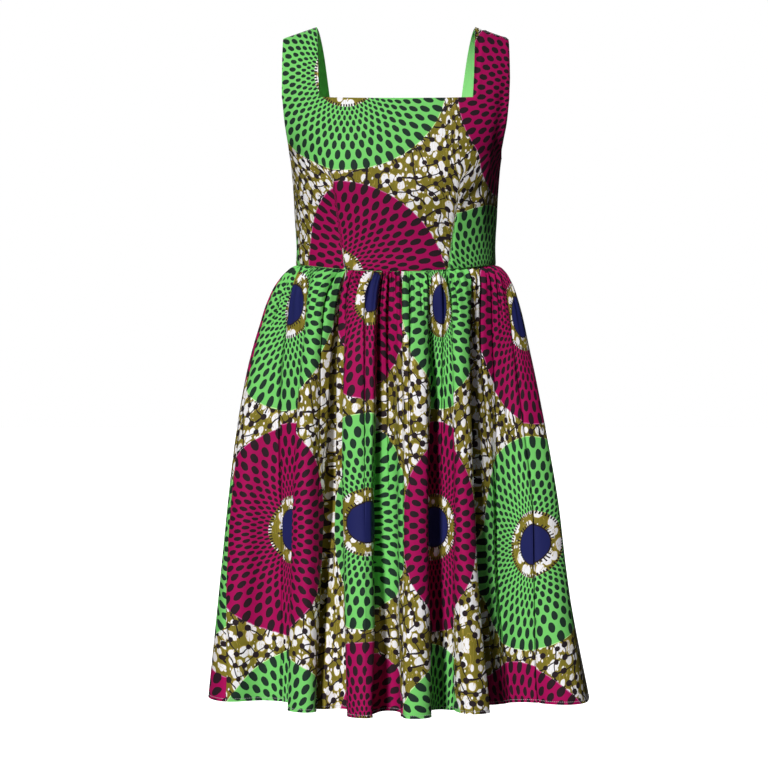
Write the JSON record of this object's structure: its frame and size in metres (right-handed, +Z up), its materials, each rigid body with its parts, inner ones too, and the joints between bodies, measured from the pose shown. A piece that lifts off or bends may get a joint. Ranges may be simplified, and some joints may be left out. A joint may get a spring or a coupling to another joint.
{
  "type": "ankara wax print dress",
  "caption": "Sleeveless knee-length cotton dress with a square neck, wide straps, a darted bodice and a gathered skirt, hollow as worn.",
  "frame": {"origin": "midway between the shoulder straps, level with their neck-side tops, where the wearer's shoulders hold the dress", "axes": "+Z up; the front faces -Y; +X is the wearer's left"},
  "size_m": [0.5701, 0.4522, 1.0032],
  "materials": {
    "wax_print_bodice": "cotton wax print, green, magenta, olive, navy and white, faint glaze",
    "wax_print_skirt": "cotton wax print, green, magenta, olive, navy and white, faint glaze",
    "wax_print_back": "cotton wax print, green, magenta, olive, navy and white, faint glaze",
    "lining_cotton": "plain green cotton, matte"
  },
  "bodies": {
    "root": {"bodice_front": "wax_print_bodice", "bodice_back": "wax_print_back", "lining_front": "lining_cotton", "lining_back": "lining_cotton", "skirt_front": "wax_print_skirt", "skirt_back": "wax_print_back"}
  },
  "joints": []
}
